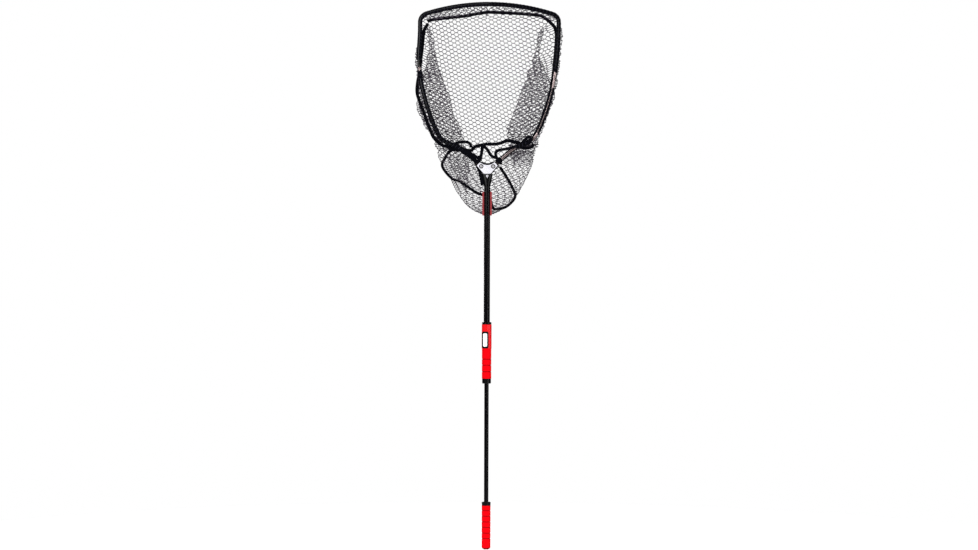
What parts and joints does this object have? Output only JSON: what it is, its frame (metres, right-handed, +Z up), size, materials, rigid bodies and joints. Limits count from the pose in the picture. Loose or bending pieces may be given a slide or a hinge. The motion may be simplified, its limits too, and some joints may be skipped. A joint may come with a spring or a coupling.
{
  "type": "landing net",
  "caption": "Folding landing net: telescopic handle with rubber grips and a lock button, arms hinged at a yoke, flexible bow and a deep mesh bag.",
  "frame": {"origin": "centre of the end plug's flat face at the foot of the handle", "axes": "+Z up along the handle's axis towards the hoop; the hoop lies in the XZ plane; -Y is the open side of the hoop and the bag hangs on the +Y side; +X is to the right seen from -Y"},
  "size_m": [0.549, 0.1745, 2.1014],
  "materials": {
    "black_anodised": "satin",
    "bronze_anodised": "satin",
    "bright_plate": "satin",
    "steel": "satin",
    "rivet_steel": "satin",
    "spring_steel": "satin",
    "red_rubber": "matte",
    "red_plastic": "semi_gloss",
    "black_plastic": "matte",
    "white_plastic": "gloss",
    "nylon": "matte",
    "bow_coating": "satin",
    "woven_black": "matte",
    "mesh_charcoal": "matte"
  },
  "bodies": {
    "upper_handle": {"bow_sleeve": "woven_black", "button_bezel": "black_plastic", "button_spring": "spring_steel", "guide_bush": "nylon", "lock_housing": "red_plastic", "loose_rim_tape": "woven_black", "mid_bottom_collar": "black_plastic", "mid_grip_sleeve": "red_rubber", "mid_top_collar": "black_plastic", "net_back_panel": "mesh_charcoal", "net_left_panel": "mesh_charcoal", "net_pocket": "mesh_charcoal", "net_right_panel": "mesh_charcoal", "pivot_rivets": "rivet_steel", "pivot_washers": "steel", "rear_clip": "red_plastic", "socket_pin": "steel", "top_bow": "bow_coating", "top_rim_tape": "woven_black", "upper_tube": "black_anodised", "yoke_front_liner": "black_plastic", "yoke_front_plate": "bright_plate", "yoke_rear_liner": "black_plastic", "yoke_rear_plate": "bright_plate", "yoke_socket": "black_plastic", "yoke_ties": "woven_black"},
    "lower_handle": {"lower_tube": "black_anodised", "slide_bush": "nylon", "end_grip": "red_rubber", "end_grip_collar": "black_plastic", "end_plug": "black_plastic"},
    "lock_button": {"release_button": "white_plastic", "lock_pin": "steel"},
    "left_arm": {"left_arm_sleeve": "woven_black", "left_arm_tube": "bronze_anodised", "left_pivot_bush": "nylon", "left_rim_tape": "woven_black", "left_tip_ferrule": "bronze_anodised"},
    "right_arm": {"right_arm_sleeve": "woven_black", "right_arm_tube": "bronze_anodised", "right_pivot_bush": "nylon", "right_rim_tape": "woven_black", "right_tip_ferrule": "bronze_anodised"}
  },
  "joints": [
    {"name": "handle_slide", "type": "slide", "parent": "upper_handle", "child": "lower_handle", "axis": [0, 0, 1], "range_m": [0, 0.45]},
    {"name": "button_press", "type": "slide", "parent": "upper_handle", "child": "lock_button", "axis": [0.342, 0.9397, 0], "range_m": [0, 0.0024], "stiffness_N_per_m": 600, "springref_m": -0.0015, "deforming": ["button_spring"]},
    {"name": "left_arm_fold", "type": "hinge", "parent": "upper_handle", "child": "left_arm", "pos_m": [-0.023, 0, 1.47], "axis": [0, 1, 0], "range_deg": [0, 20], "deforming": ["bow_sleeve", "loose_rim_tape", "top_bow", "top_rim_tape", "yoke_ties"]},
    {"name": "right_arm_fold", "type": "hinge", "parent": "upper_handle", "child": "right_arm", "pos_m": [0.023, 0, 1.47], "axis": [0, -1, 0], "range_deg": [0, 20]}
  ],
  "couplings": [
    {"joint": "right_arm_fold", "follows": "left_arm_fold", "ratio": 1}
  ]
}
